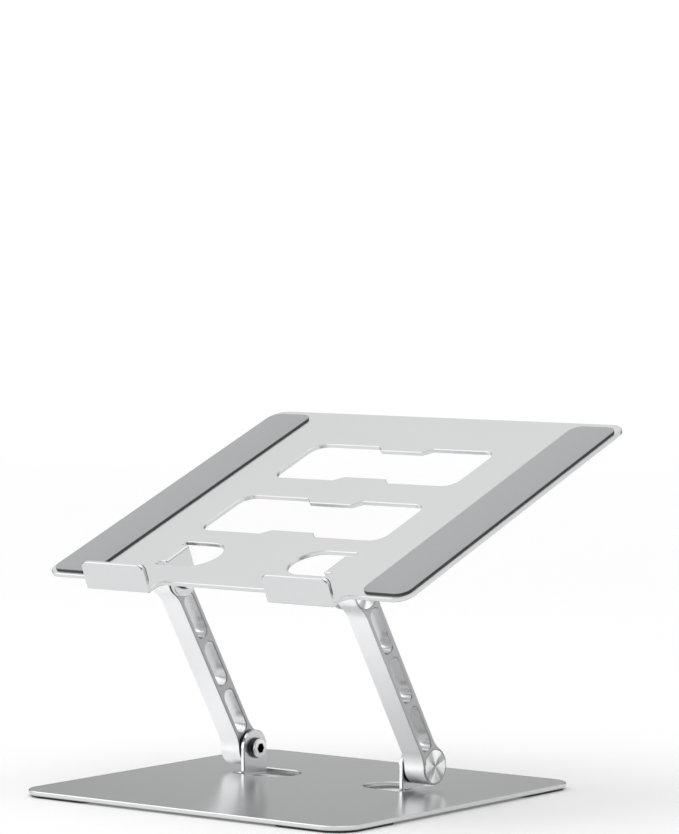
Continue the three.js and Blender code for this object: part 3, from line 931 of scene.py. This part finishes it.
def end_cap(low, high):
    """A brushed disc with a bevelled rim and a short spigot that presses into the arm's pocket."""
    inner = high - CAP_THICK
    return turned(
        [
            (inner, 0),
            (inner, SPIGOT_INNER),
            (low, SPIGOT_INNER),
            (low, SPIGOT_OUTER),
            (inner, SPIGOT_OUTER),
            (inner, CAP_RADIUS),
            (high - CAP_BEVEL, CAP_RADIUS),
            (high, CAP_RADIUS - CAP_BEVEL),
            (high, 0),
        ],
        segments=96,
    )


def washer(low, high):
    return ring(low, high, WASHER_RADIUS)


def friction_disc(low, high):
    return ring(low, high, DISC_RADIUS, fillet=0.1 * MM)


HINGE_PIECES = {
    "bolt": ("socket_bolt", bolt, "bright_steel"),
    "spring_washer": ("split_washer", split_ring, "black_steel"),
    "head_washer": ("flat_washer", washer, "black_steel"),
    "friction_disc": ("nylon_disc", friction_disc, "nylon"),
    "nut_washer": ("inner_washer", washer, "bright_steel"),
    "lock_nut": ("hex_nut", nut, "bright_steel"),
    "end_cap": ("brushed_disc", end_cap, "brushed_cap"),
}


def hinges():
    for level, pivot, turn in (("lower", LOWER_PIVOT, 0), ("upper", UPPER_PIVOT, TILT)):
        for side_name, side in (("left", -1), ("right", 1)):
            place = Matrix.Translation(pivot) @ Matrix.Rotation(turn, 4, "X")
            if side < 0:
                place = place @ Matrix.Rotation(math.pi, 4, "Z")
            for kind, (label, build, slot) in HINGE_PIECES.items():
                node = f"{level}_{side_name}_{kind}"
                low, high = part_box(f"{level}_right_{kind}")
                name = f"{label}_{level}_{side_name}"
                # the hex socket gets painted shade
                accents = [("socket_shade", in_socket)] if kind == "bolt" else []
                finished(name, build(low.x, high.x), place, slot, BODY_OF[node], node, *accents)


base_sheet()
for side_x in (-1, 1):
    for side_y in (-1, 1):
        foot(side_x, side_y)
tray_sheet()
tray_pads()
hook_pads()
arm("left_arm", -1)
arm("right_arm", 1)
hinges()

# ---------------------------------------------------------------- studio
CAMERA_AZIMUTH = 38.07
CAMERA_ELEVATION = 3.23
CAMERA_ROLL = -0.13
CAMERA_DISTANCE = 2.289
CAMERA_LENS = 179.5
CAMERA_SENSOR = 36
CAMERA_FAR = 50
AIM = Vector((0.0182, BASE_MIDDLE_Y + 0.0142, BASE_TOP + 0.204))

# The room. A glow is azimuth, elevation, inner and outer radius in degrees, and its strength.
SKY_LOW = 0.06
SKY_HIGH = 0.84
SKY_FADE_END = 0.65  # sine of the elevation above which the room is evenly bright
FRONT_LEFT_GLOW = (-40, 0, 12, 28, 1.5)
LEFT_GLOW = (-70, 47, 12, 38, 0.95)
REAR_LEFT_GLOW = (-131, 38, 8, 22, 0.12)
RIGHT_REAR_GLOW = (142, 8, 8, 28, 0.55)
CAMERA_SIDE = (38, 0)
CAMERA_SIDE_LEVEL = 0.05
CAMERA_SIDE_FADE = (0.6, 0.97)  # cosines of the angle from that side
PALE_BACKDROP = (218, -1, 7, 10, 1.05)
FLOOR_REACH = 12
FLOOR_GLOW_FROM = 0.6  # distances from the middle, and the floor's glow at each
FLOOR_GLOW_TO = 4
FLOOR_GLOW_NEAR = 0.08
FLOOR_GLOW_FAR = 0.2


def towards(azimuth, elevation):
    """A unit vector; azimuth 0 points to the front and grows towards the right, in degrees."""
    a = math.radians(azimuth)
    e = math.radians(elevation)
    return Vector((math.sin(a) * math.cos(e), -math.cos(a) * math.cos(e), math.sin(e)))


def camera():
    back = towards(CAMERA_AZIMUTH, CAMERA_ELEVATION)
    data = bpy.data.cameras.new("camera")
    data.lens = CAMERA_LENS
    data.sensor_width = CAMERA_SENSOR
    data.clip_end = CAMERA_FAR
    made = bpy.data.objects.new("camera", data)
    bpy.context.scene.collection.objects.link(made)
    made.rotation_mode = "QUATERNION"
    made.location = AIM + back * CAMERA_DISTANCE
    aimed = (-back).to_track_quat("-Z", "Y").to_matrix().to_4x4()
    roll = Matrix.Rotation(math.radians(CAMERA_ROLL), 4, "Z")
    made.rotation_quaternion = (aimed @ roll).to_quaternion()
    bpy.context.scene.camera = made


def floor():
    """A plain pale floor that fades into the white room far from the stand."""
    material, tree, shader, coordinates = new_material("pale_floor", 0.0, 0.9)
    tint(tree, shader, noise(tree, coordinates, 1.5), (0.93, 0.93, 0.93), (0.95, 0.95, 0.95))
    away = tree.nodes.new("ShaderNodeVectorMath")
    away.operation = "LENGTH"
    tree.links.new(coordinates, away.inputs[0])
    glow = tree.nodes.new("ShaderNodeMapRange")
    glow.inputs["From Min"].default_value = FLOOR_GLOW_FROM
    glow.inputs["From Max"].default_value = FLOOR_GLOW_TO
    glow.inputs["To Min"].default_value = FLOOR_GLOW_NEAR
    glow.inputs["To Max"].default_value = FLOOR_GLOW_FAR
    tree.links.new(away.outputs["Value"], glow.inputs["Value"])
    shader.inputs["Emission Color"].default_value = (1, 1, 1, 1)
    tree.links.new(glow.outputs["Result"], shader.inputs["Emission Strength"])
    mesh = bpy.data.meshes.new("floor")
    r = FLOOR_REACH
    mesh.from_pydata([(-r, -r, 0), (r, -r, 0), (r, r, 0), (-r, r, 0)], [], [(0, 1, 2, 3)])
    mesh.materials.append(material)
    made = bpy.data.objects.new("floor", mesh)
    bpy.context.scene.collection.objects.link(made)


def softbox(name, azimuth, elevation, distance, size, power):
    """A large area light aimed at the stand."""
    direction = towards(azimuth, elevation)
    data = bpy.data.lights.new(name, "AREA")
    data.shape = "RECTANGLE"
    data.size, data.size_y = size
    data.energy = power
    made = bpy.data.objects.new(name, data)
    made.location = Vector((0, 0, 0.1)) + direction * distance
    made.rotation_mode = "QUATERNION"
    made.rotation_quaternion = (-direction).to_track_quat("-Z", "Y")
    bpy.context.scene.collection.objects.link(made)


def world():
    """A pale room, brightest overhead and to the left, and dim at the horizon and the camera."""
    made = bpy.data.worlds.new("studio")
    bpy.context.scene.world = made
    made.use_nodes = True
    tree = made.node_tree
    background = tree.nodes["Background"]
    background.inputs["Color"].default_value = (1, 1, 1, 1)
    direction = tree.nodes.new("ShaderNodeTexCoord").outputs["Generated"]

    def fade(axis, start, end, low, high):
        """low where the direction's cosine to the axis is start, high where it is end."""
        dot = tree.nodes.new("ShaderNodeVectorMath")
        dot.operation = "DOT_PRODUCT"
        dot.inputs[1].default_value = axis
        tree.links.new(direction, dot.inputs[0])
        node = tree.nodes.new("ShaderNodeMapRange")
        node.interpolation_type = "SMOOTHSTEP"
        node.inputs["From Min"].default_value = start
        node.inputs["From Max"].default_value = end
        node.inputs["To Min"].default_value = low
        node.inputs["To Max"].default_value = high
        tree.links.new(dot.outputs["Value"], node.inputs["Value"])
        return node.outputs["Result"]

    def combine(operation, first, second):
        node = tree.nodes.new("ShaderNodeMath")
        node.operation = operation
        tree.links.new(first, node.inputs[0])
        tree.links.new(second, node.inputs[1])
        return node.outputs["Value"]

    def patch(azimuth, elevation, inner, outer, amount):
        """amount within inner degrees of a direction, fading to nothing at outer degrees."""
        start = math.cos(math.radians(outer))
        end = math.cos(math.radians(inner))
        return fade(towards(azimuth, elevation), start, end, 0, amount)

    level = fade(Vector((0, 0, 1)), 0, SKY_FADE_END, SKY_LOW, SKY_HIGH)
    for glow in (FRONT_LEFT_GLOW, LEFT_GLOW, REAR_LEFT_GLOW, RIGHT_REAR_GLOW):
        level = combine("ADD", level, patch(*glow))
    camera_side = fade(towards(*CAMERA_SIDE), *CAMERA_SIDE_FADE, 1, CAMERA_SIDE_LEVEL)
    level = combine("MULTIPLY", level, camera_side)
    level = combine("MAXIMUM", level, patch(*PALE_BACKDROP))
    tree.links.new(level, background.inputs["Strength"])


camera()
floor()
world()
softbox("top_softbox", 180, 84, distance=1.6, size=(1.5, 1.2), power=3.5)
softbox("front_left_softbox", -40, 12, distance=1.8, size=(0.9, 0.9), power=1.6)

scene = bpy.context.scene
scene.view_settings.view_transform = "Standard"
scene.view_settings.look = "None"
